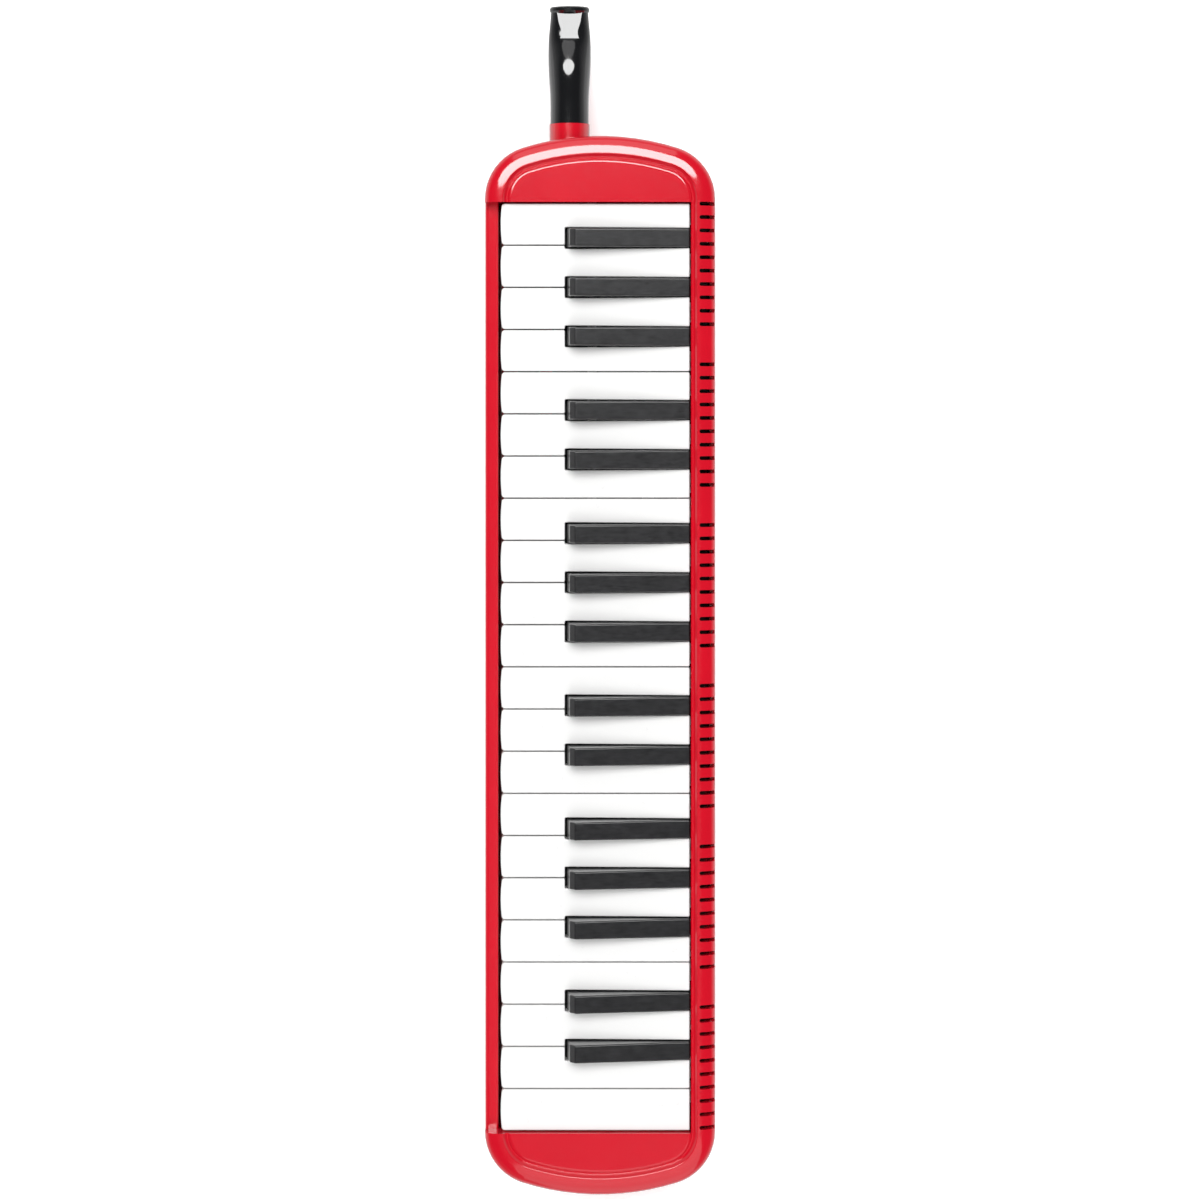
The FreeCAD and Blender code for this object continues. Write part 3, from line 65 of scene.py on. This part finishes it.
# Camera, in metres: CAMERA_HEIGHT above the white keys, where the picture is PICTURE_SPAN wide.
# The picture's middle is off the instrument's middle by PICTURE_ALONG, and the camera stands off
# the picture's middle by TOWARD_MOUTHPIECE.
SENSOR_WIDTH_MM = 36
PICTURE_SPAN = 0.5462
CAMERA_HEIGHT = 1.25
TOWARD_MOUTHPIECE = 0.1024
PICTURE_ALONG = 0.0004
CAMERA_REACH = 20

# Name, then place, aim, and width and length in metres, power in watts, and whether gloss
# shows it.
LIGHTS = (
    ("softbox", (-1.65, -0.35, 3.2), (-1.65, -0.35, 0), (2.1, 3.6), 150, True),
    ("glow", (-3.5, -0.3, 2.8), (-0.2, 0, 0), (1.9, 3.4), 12, True),
    ("fill", (2.2, 0.4, 1.9), (0.1, 0, 0), (3.2, 2.4), 11, True),
    ("overhead", (0.85, 0.1, 1.9), (0.15, 0, 0), (1.8, 1.4), 23, False),
)
# The way a light's length runs, as near as its aim allows.
LIGHT_UP = (0, 1, 0.01)

# The world's brightness by the height of the direction: -1 is straight down, 1 straight up. The
# two bands are added together, and each keeps its end values beyond its heights.
WALL_HEIGHTS, WALL_BRIGHTNESS = (0.05, 0.6), (0.45, 0.05)
BELOW_HEIGHTS, BELOW_BRIGHTNESS = (-0.1, 0), (0.35, 0)

FLOOR_SIZE = 12
FLOOR_GLOW = 0.3

ABS_IOR = 1.53
COAT_IOR = 1.6
MOULDED_COAT_ROUGHNESS = 0.06
KEY_COAT = 0.7
KEY_COAT_ROUGHNESS = 0.15

# Sockets of the mix node that a mix of colours uses.
MIX_SHARE, MIX_FIRST, MIX_SECOND, MIX_RESULT = 0, 6, 7, 2

STRAP_THICKNESS = 1.8 * MM
STRAP_ARC_STEPS = 14
STRAP_RUN_STEPS = 24
# The strap lies round the low pin between these angles, in degrees from +X towards +Z, and round
# the high pin in mirror image.
STRAP_ARC_START, STRAP_ARC_END = 50, 270
# A free end drops by TAB_DROP over TAB_BEND, then lies on the strap as far as TAB_LENGTH from the
# pin. TAB_GAP is the height of its middle line over the strap's, in strap thicknesses.
TAB_BEND, TAB_DROP = 4 * MM, 2.2 * MM
TAB_LENGTH = 11 * MM
TAB_GAP = 1.02

# Outline of one half of the strap's section, as shares of its half width and half thickness.
STRAP_HALF_SECTION = (
    (-1, 0), (-0.99, 0.6), (-0.955, 0.95), (-0.86, 0.86), (-0.6, 1),
    (0, 1), (0.6, 1), (0.86, 0.86), (0.955, 0.95), (0.99, 0.6),
)

STITCH_PITCH = 4 * MM
STITCH_LENGTH = 2.6 * MM
STITCH_RADIUS = 0.3 * MM
STITCH_SIDES = 8
STITCH_INSET = 2.4 * MM
STITCH_SINK = 0.05 * MM
UNSTITCHED_LENGTH = 14 * MM  # both ends together
# Along a stitch: share of its length, swell of its radius, and lift out of the strap in radii.
STITCH_STATIONS = (
    (0, 0.35, -0.6), (0.15, 0.85, 0), (0.5, 1, 0.25), (0.85, 0.85, 0), (1, 0.35, -0.6),
)

FELT_STATIONS = 140
# Outline of the felt's section, as shares of its width and height.
FELT_CROWN = (
    (0, 0), (0, 0.7), (0.06, 0.92), (0.2, 1), (0.5, 1), (0.8, 1), (0.94, 0.92), (1, 0.7), (1, 0),
)
# The felt's top lies up to twice FELT_SAG of its height under its box's top, in a pattern of two
# waves, given in radians per station.
FELT_SAG = 0.03
FELT_WAVE, FELT_SLOW_WAVE = 1.7, 0.61


# ---------------------------------------------------------------- camera, floor and light


def aimed(eye, up, aim):
    """Matrix of something at eye that looks at aim, with up towards the top of its view."""
    back = (eye - aim).normalized()
    right = up.cross(back).normalized()
    turn = Matrix((right, back.cross(right), back)).transposed()
    return Matrix.Translation(eye) @ turn.to_4x4()


def make_camera():
    """Straight above the white keys, with the mouthpiece at the top of the picture."""
    key_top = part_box("key_19_white_b4")[1].z
    middle = (cad_box[0] + cad_box[1]) / 2
    data = bpy.data.cameras.new("camera")
    data.sensor_width = SENSOR_WIDTH_MM
    data.lens = SENSOR_WIDTH_MM * CAMERA_HEIGHT / PICTURE_SPAN
    data.shift_y = -TOWARD_MOUTHPIECE / PICTURE_SPAN
    data.clip_end = CAMERA_REACH
    camera = bpy.data.objects.new("camera", data)
    bpy.context.scene.collection.objects.link(camera)
    eye = Vector((middle.x + PICTURE_ALONG - TOWARD_MOUTHPIECE, middle.y, key_top + CAMERA_HEIGHT))
    camera.matrix_world = aimed(eye, Vector((-1, 0, 0)), eye - Vector((0, 0, 1)))
    bpy.context.scene.camera = camera


def make_light(name, place, aim, size, power, in_reflections):
    """Soft oval light at place that faces aim."""
    data = bpy.data.lights.new(name, "AREA")
    data.shape = "ELLIPSE"
    data.size, data.size_y = size
    data.energy = power
    light = bpy.data.objects.new(name, data)
    light.visible_camera = False
    light.visible_glossy = in_reflections
    light.matrix_world = aimed(Vector(place), Vector(LIGHT_UP), Vector(aim))
    bpy.context.scene.collection.objects.link(light)


def make_world():
    """Grey walls that darken upwards to a dim ceiling, and the pale floor's light from below."""
    world = bpy.data.worlds.new("studio")
    world.use_nodes = True
    tree = world.node_tree
    direction = add(tree, "ShaderNodeTexCoord").outputs["Generated"]
    height = add(tree, "ShaderNodeSeparateXYZ", {"Vector": direction}).outputs["Z"]
    walls = band(tree, height, WALL_HEIGHTS, WALL_BRIGHTNESS)
    below = band(tree, height, BELOW_HEIGHTS, BELOW_BRIGHTNESS)
    background = tree.nodes["Background"]
    background.inputs["Color"].default_value = (1, 1, 1, 1)
    tree.links.new(calculate(tree, "ADD", walls, below), background.inputs["Strength"])
    bpy.context.scene.world = world


def make_floor():
    """Plain pale floor, which gloss doesn't show."""
    bpy.ops.mesh.primitive_plane_add(size=FLOOR_SIZE)
    floor = bpy.context.object
    floor.name = "floor"
    floor.visible_glossy = False
    floor.data.materials.append(floor_material())


def make_studio():
    """World, lights and floor."""
    bpy.context.scene.view_settings.view_transform = "Standard"
    make_world()
    for light in LIGHTS:
        make_light(*light)
    make_floor()


# ---------------------------------------------------------------- material building


def start_material(name):
    """A new material, its node tree and its main shader."""
    material = bpy.data.materials.new(name)
    material.use_nodes = True
    tree = material.node_tree
    return material, tree, tree.nodes["Principled BSDF"]


def add(tree, kind, inputs=(), **settings):
    """A node with its settings and inputs; an input is a value or another node's output."""
    node = tree.nodes.new(kind)
    for name, value in settings.items():
        setattr(node, name, value)
    for name, value in dict(inputs).items():
        if isinstance(value, bpy.types.NodeSocket):
            tree.links.new(value, node.inputs[name])
        else:
            node.inputs[name].default_value = value
    return node


def metres(tree, stretch=(1, 1, 1), turn=0):
    """Coordinates in metres, turned by turn degrees about Z, then stretched along the axes."""
    place = add(tree, "ShaderNodeTexCoord").outputs["Object"]
    turned = add(tree, "ShaderNodeMapping", {
        "Vector": place, "Rotation": (0, 0, math.radians(turn)),
    }).outputs["Vector"]
    return add(tree, "ShaderNodeMapping", {"Vector": turned, "Scale": stretch}).outputs["Vector"]


def noise(tree, where, scale, detail=3, roughness=0.55):
    """Noise from 0 to 1; scale is in repeats per metre."""
    return add(tree, "ShaderNodeTexNoise", {
        "Vector": where, "Scale": scale, "Detail": detail, "Roughness": roughness,
    }).outputs["Fac"]


def band(tree, value, between, to=(0, 1)):
    """value over one range, carried to another and held at its ends."""
    return add(tree, "ShaderNodeMapRange", {
        "Value": value, "From Min": between[0], "From Max": between[1],
        "To Min": to[0], "To Max": to[1],
    }).outputs["Result"]


def blend_colours(tree, share, first, second):
    """A colour from first, where share is 0, to second, where it is 1."""
    node = add(tree, "ShaderNodeMix", data_type="RGBA")
    for index, value in ((MIX_SHARE, share), (MIX_FIRST, first), (MIX_SECOND, second)):
        if isinstance(value, bpy.types.NodeSocket):
            tree.links.new(value, node.inputs[index])
        else:
            node.inputs[index].default_value = (*value[:3], 1)
    return node.outputs[MIX_RESULT]


def calculate(tree, operation, *values):
    """Result of a math node."""
    return add(tree, "ShaderNodeMath", enumerate(values), operation=operation).outputs[0]


def paint(tree, shader, colour, roughness):
    """Patterns for the shader's colour and roughness."""
    tree.links.new(colour, shader.inputs["Base Color"])
    tree.links.new(roughness, shader.inputs["Roughness"])


def bump(tree, shader, height, distance, strength=1.0):
    """Relief on the shader's normal; distance is its height in metres."""
    node = add(tree, "ShaderNodeBump", {
        "Height": height, "Distance": distance, "Strength": strength,
    })
    tree.links.new(node.outputs["Normal"], shader.inputs["Normal"])


def set_plain(shader, **values):
    """Values that are the same all over the surface; Coat_IOR sets the socket "Coat IOR"."""
    for name, value in values.items():
        shader.inputs[name.replace("_", " ")].default_value = value


def shade(colour, factor):
    """The colour made lighter or darker by a factor."""
    return tuple(min(1, c * factor) for c in colour[:3])


def scratches(tree, where, scale, width=0.0015):
    """Sparse hairlines along the noise's middle level: 1 on a scratch, 0 elsewhere."""
    wave = add(tree, "ShaderNodeTexNoise", {
        "Vector": where, "Scale": scale, "Detail": 2, "Roughness": 0.4, "Distortion": 1.5,
    }).outputs["Fac"]
    off_middle = calculate(tree, "ABSOLUTE", calculate(tree, "SUBTRACT", wave, 0.5))
    return band(tree, off_middle, (width, 0))


# ---------------------------------------------------------------- materials


def moulded_plastic(name, colour, roughness, mottle=0.06, orange_peel=0.012 * MM, coat=0.0):
    """Moulded plastic: colour drift, slanting smears of painted light, haze, hairlines and orange
    peel.
    """
    material, tree, shader = start_material(name)
    where = metres(tree)
    drift = band(tree, noise(tree, where, 14, detail=2), (0.3, 0.7))
    # The slanting smear is painted light: lighter streaks painted into the colour where soft light
    # smears across the surface.
    light_smear_slant = metres(tree, stretch=(1, 0.3, 1), turn=35)
    painted_light_smear = band(tree, noise(tree, light_smear_slant, 70, detail=4, roughness=0.6), (0.5, 0.75))
    share = band(tree, calculate(tree, "ADD", drift, painted_light_smear), (0, 2))
    # mottle sets how far the colour goes darker and lighter, for the random drift and the painted
    # light smears together.
    drift_and_light_smears = blend_colours(tree, share, shade(colour, 1 - mottle), shade(colour, 1 + mottle))
    haze = band(tree, noise(tree, where, 220, detail=5, roughness=0.7), (0.3, 0.75),
                to=(roughness * 0.9, roughness * 1.15))
    hairlines = scratches(tree, metres(tree, stretch=(1, 0.08, 1), turn=20), 160)
    scuffs = calculate(tree, "MULTIPLY", hairlines, 0.04)
    paint(tree, shader, drift_and_light_smears, calculate(tree, "ADD", haze, scuffs))
    bump(tree, shader, noise(tree, where, 900, detail=2, roughness=0.5), orange_peel)
    set_plain(shader, IOR=ABS_IOR, Coat_Weight=coat, Coat_IOR=COAT_IOR,
              Coat_Roughness=MOULDED_COAT_ROUGHNESS)
    return material


def streaked_plastic(name, colour, roughness):
    """Satin black moulding with fine streaks along the key and a dusty mottle."""
    material, tree, shader = start_material(name)
    streaks = noise(tree, metres(tree, stretch=(1, 0.05, 1)), 1500, detail=4, roughness=0.65)
    mottle = noise(tree, metres(tree), 260, detail=4, roughness=0.65)
    share = calculate(tree, "ADD", band(tree, streaks, (0.35, 0.7), to=(0, 0.6)),
                      band(tree, mottle, (0.4, 0.75), to=(0, 0.4)))
    paint(tree, shader, blend_colours(tree, share, colour, shade(colour, 2.8)),
          band(tree, share, (0, 1), to=(roughness * 0.8, roughness * 1.4)))
    bump(tree, shader, calculate(tree, "ADD", streaks, mottle), 0.02 * MM, strength=0.6)
    set_plain(shader, Coat_Weight=KEY_COAT, Coat_Roughness=KEY_COAT_ROUGHNESS)
    return material


def metal(name, colour, roughness, grain):
    """Drawn or rolled metal with fine lines along its length; grain stretches them."""
    material, tree, shader = start_material(name)
    lines = noise(tree, metres(tree, stretch=grain), 1800, roughness=0.6)
    stain = band(tree, noise(tree, metres(tree), 40), (0.35, 0.7))
    paint(tree, shader, blend_colours(tree, stain, colour, shade(colour, 0.82)),
          band(tree, lines, (0.3, 0.7), to=(roughness * 0.7, roughness * 1.3)))
    bump(tree, shader, lines, 0.008 * MM)
    set_plain(shader, Metallic=1)
    return material


def rubber(name, colour):
    """Dull rubber with a fine speckle."""
    material, tree, shader = start_material(name)
    speck = noise(tree, metres(tree), 1400, detail=4, roughness=0.7)
    share = band(tree, speck, (0.35, 0.7))
    paint(tree, shader, blend_colours(tree, share, colour, shade(colour, 1.8)),
          band(tree, speck, (0.3, 0.7), to=(0.6, 0.85)))
    bump(tree, shader, speck, 0.04 * MM)
    return material


def leather(name, colour):
    """Grained leather: cells with creases between them, darker and duller in the creases."""
    material, tree, shader = start_material(name)
    where = metres(tree)
    cells = add(tree, "ShaderNodeTexVoronoi", {
        "Vector": where, "Scale": 1100, "Randomness": 0.9,
    }, feature="DISTANCE_TO_EDGE").outputs["Distance"]
    raised = band(tree, cells, (0, 0.16))
    wear = band(tree, noise(tree, where, 90, detail=4), (0.4, 0.7))
    worn = blend_colours(tree, wear, shade(colour, 1.5), shade(colour, 2.6))
    paint(tree, shader, blend_colours(tree, raised, colour, worn),
          band(tree, raised, (0, 1), to=(0.75, 0.45)))
    relief = calculate(tree, "ADD", raised, noise(tree, where, 500))
    bump(tree, shader, relief, 0.12 * MM, strength=0.8)
    return material


def felt(name, colour):
    """Pressed felt: short tangled fibres."""
    material, tree, shader = start_material(name)
    fibres = noise(tree, metres(tree, stretch=(1, 3, 1)), 2600, detail=6, roughness=0.8)
    share = band(tree, fibres, (0.3, 0.7))
    paint(tree, shader, blend_colours(tree, share, shade(colour, 0.55), shade(colour, 1.5)),
          band(tree, fibres, (0, 1), to=(0.85, 1)))
    bump(tree, shader, fibres, 0.3 * MM)
    set_plain(shader, Sheen_Weight=0.5)
    return material


def thread(name, colour):
    """Twisted sewing thread."""
    material, tree, shader = start_material(name)
    twist = add(tree, "ShaderNodeTexWave", {
        "Vector": metres(tree, stretch=(1, 0.6, 1)), "Scale": 1600, "Distortion": 1,
    }, wave_type="BANDS", bands_direction="DIAGONAL").outputs["Fac"]
    paint(tree, shader, blend_colours(tree, twist, shade(colour, 0.5), colour),
          band(tree, twist, (0, 1), to=(0.9, 0.6)))
    bump(tree, shader, twist, 0.1 * MM)
    return material


def floor_material():
    """White paper that glows a little, so that shadows on it stay faint."""
    material, tree, shader = start_material("studio_floor")
    paper = noise(tree, metres(tree), 300)
    tree.links.new(blend_colours(tree, paper, (0.93, 0.93, 0.93), (0.96, 0.96, 0.96)),
                   shader.inputs["Base Color"])
    set_plain(shader, Roughness=0.9, Emission_Color=(1, 1, 1, 1), Emission_Strength=FLOOR_GLOW)
    return material


def slot_materials():
    """The material of each slot in the record."""
    return {
        "case_red": moulded_plastic("case_red_abs", (0.55, 0.003, 0.015), roughness=0.14,
                                    mottle=0.05, coat=1),
        "key_white": moulded_plastic("key_white_abs", (0.705, 0.705, 0.7), roughness=0.3,
                                     mottle=0.006, orange_peel=0.003 * MM),
        "key_black": streaked_plastic("key_black_abs", (0.0065, 0.0065, 0.0072), roughness=0.36),
        "mouth_black": moulded_plastic("mouth_black_abs", (0.005, 0.0054, 0.0064), roughness=0.12,
                                       mottle=0.2, coat=1),
        "seal_rubber": rubber("seal_rubber", (0.012, 0.012, 0.012)),
        "foot_rubber": rubber("foot_rubber", (0.02, 0.02, 0.02)),
        "steel": metal("drawn_steel", (0.6, 0.6, 0.61), roughness=0.32, grain=(0.05, 1, 1)),
        "inner_plastic": moulded_plastic("inner_abs", (0.014, 0.014, 0.016), roughness=0.5,
                                         mottle=0.1),
        "reed_brass": metal("rolled_brass", (0.72, 0.5, 0.2), roughness=0.3, grain=(1, 0.04, 1)),
        "felt": felt("red_felt", (0.25, 0.015, 0.02)),
        "strap_leather": leather("strap_leather", (0.012, 0.011, 0.011)),
    }


def dress_nodes(materials):
    """Every carried-over node gets the material of its record slot."""
    for entry in frame["record"]["subparts"]:
        node = NODES[entry["node"]]
        node.data.materials.clear()
        node.data.materials.append(materials[entry["material_slot"]])


# ---------------------------------------------------------------- built pieces


def skin(bm, rings):
    """Faces from each ring of vertices to the next, and a cap on the first and the last."""
    for ring, following in zip(rings, rings[1:]):
        for j in range(len(ring)):
            k = (j + 1) % len(ring)
            bm.faces.new((ring[j], ring[k], following[k], following[j]))
    bm.faces.new(rings[0])
    bm.faces.new(list(reversed(rings[-1])))


def finish_piece(name, bm, material):
    """Object with smooth faces that point outwards, made from bm."""
    bmesh.ops.recalc_face_normals(bm, faces=bm.faces)
    mesh = bpy.data.meshes.new(name)
    bm.to_mesh(mesh)
    bm.free()
    for face in mesh.polygons:
        face.use_smooth = True
    mesh.materials.append(material)
    piece = bpy.data.objects.new(name, mesh)
    bpy.context.scene.collection.objects.link(piece)
    return piece


def arc_points(centre, radius, first, last):
    """Points in the XZ plane round centre, angles in degrees from +X towards +Z."""
    steps = STRAP_ARC_STEPS
    angles = [math.radians(first + (last - first) * i / steps) for i in range(steps + 1)]
    return [centre + Vector((math.cos(a), 0, math.sin(a))) * radius for a in angles]


def strap_path():
    """Middle line of the strap: from one free end round the low pin, along the bottom, round the
    high pin and back to the other free end."""
    low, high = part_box("strap_pins")
    pin_radius = (high.z - low.z) / 2
    height = (low.z + high.z) / 2
    low_pin = Vector((low.x + pin_radius, 0, height))
    high_pin = Vector((high.x - pin_radius, 0, height))
    reach = pin_radius + STRAP_THICKNESS / 2
    left = arc_points(low_pin, reach, STRAP_ARC_START, STRAP_ARC_END)
    right = arc_points(high_pin, reach, 180 - STRAP_ARC_END, 180 - STRAP_ARC_START)
    bottom = [
        low_pin.lerp(high_pin, i / STRAP_RUN_STEPS) + Vector((0, 0, -reach))
        for i in range(1, STRAP_RUN_STEPS)
    ]
    tab_height = height - reach + STRAP_THICKNESS * TAB_GAP
    return [
        Vector((low_pin.x + TAB_LENGTH, 0, tab_height)),
        left[0] + Vector((TAB_BEND, 0, -TAB_DROP)),
        *left,
        *bottom,
        *right,
        right[-1] + Vector((-TAB_BEND, 0, -TAB_DROP)),
        Vector((high_pin.x - TAB_LENGTH, 0, tab_height)),
    ]


def sweep_strap(path, across, half_width):
    """Flat strap with rounded, slightly pinched edges along a path in the XZ plane."""
    section = [*STRAP_HALF_SECTION, *((-y, -z) for y, z in STRAP_HALF_SECTION)]
    bm = bmesh.new()
    rings = []
    for i, point in enumerate(path):
        before = path[max(i - 1, 0)]
        after = path[min(i + 1, len(path) - 1)]
        along = (after - before).normalized()
        normal = Vector((-along.z, 0, along.x))
        rings.append([
            bm.verts.new(point + Vector((0, across + y * half_width, 0))
                         + normal * z * (STRAP_THICKNESS / 2))
            for y, z in section
        ])
    skin(bm, rings)
    return bm


def add_stitch(bm, start, end):
    """A short thread that dives into the strap at both ends."""
    along = end - start
    out = Vector((0, 0, -1))
    side = along.cross(out).normalized()
    angles = [2 * math.pi * j / STITCH_SIDES for j in range(STITCH_SIDES)]
    rings = []
    for share, swell, lift in STITCH_STATIONS:
        middle = start + along * share + out * STITCH_RADIUS * lift
        rings.append([
            bm.verts.new(middle + (side * math.cos(a) + out * math.sin(a)) * STITCH_RADIUS * swell)
            for a in angles
        ])
    skin(bm, rings)


def make_stitches(low, high, across, half_width):
    """A row of stitches along each edge of the strap's bottom."""
    bm = bmesh.new()
    bottom = low.z + STITCH_SINK
    count = int((high.x - low.x - UNSTITCHED_LENGTH) / STITCH_PITCH)
    first = (low.x + high.x) / 2 - (count - 1) * STITCH_PITCH / 2
    for edge in (-1, 1):
        y = across + edge * (half_width - STITCH_INSET)
        for i in range(count):
            x = first + i * STITCH_PITCH
            add_stitch(bm, Vector((x - STITCH_LENGTH / 2, y, bottom)),
                       Vector((x + STITCH_LENGTH / 2, y, bottom)))
    stitches = finish_piece("strap_stitches", bm, thread("strap_thread", (0.3, 0.3, 0.3)))
    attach(stitches, "case")


def make_strap(materials):
    """Leather hand strap with its stitches."""
    low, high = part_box("hand_strap")
    across = (low.y + high.y) / 2
    half_width = (high.y - low.y) / 2
    strap = finish_piece("strap_leather_band", sweep_strap(strap_path(), across, half_width),
                         materials["strap_leather"])
    rounding = strap.modifiers.new("smooth", "SUBSURF")
    rounding.levels = rounding.render_levels = 1
    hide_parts("hand_strap")
    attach(strap, "case")
    make_stitches(low, high, across, half_width)


def make_felt(materials):
    """Felt stop strip with a soft crowned top."""
    low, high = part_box("front_felt")
    bm = bmesh.new()
    rings = []
    for i in range(FELT_STATIONS + 1):
        x = low.x + (high.x - low.x) * i / FELT_STATIONS
        sag = 1 - FELT_SAG * (1 + math.sin(i * FELT_WAVE) * math.cos(i * FELT_SLOW_WAVE))
        rings.append([
            bm.verts.new((x, low.y + (high.y - low.y) * y, low.z + (high.z - low.z) * z * sag))
            for y, z in FELT_CROWN
        ])
    skin(bm, rings)
    strip = finish_piece("felt_stop", bm, materials["felt"])
    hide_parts("front_felt")
    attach(strip, "case")


# ---------------------------------------------------------------- scene


make_camera()
make_studio()
materials = slot_materials()
dress_nodes(materials)
make_strap(materials)
make_felt(materials)
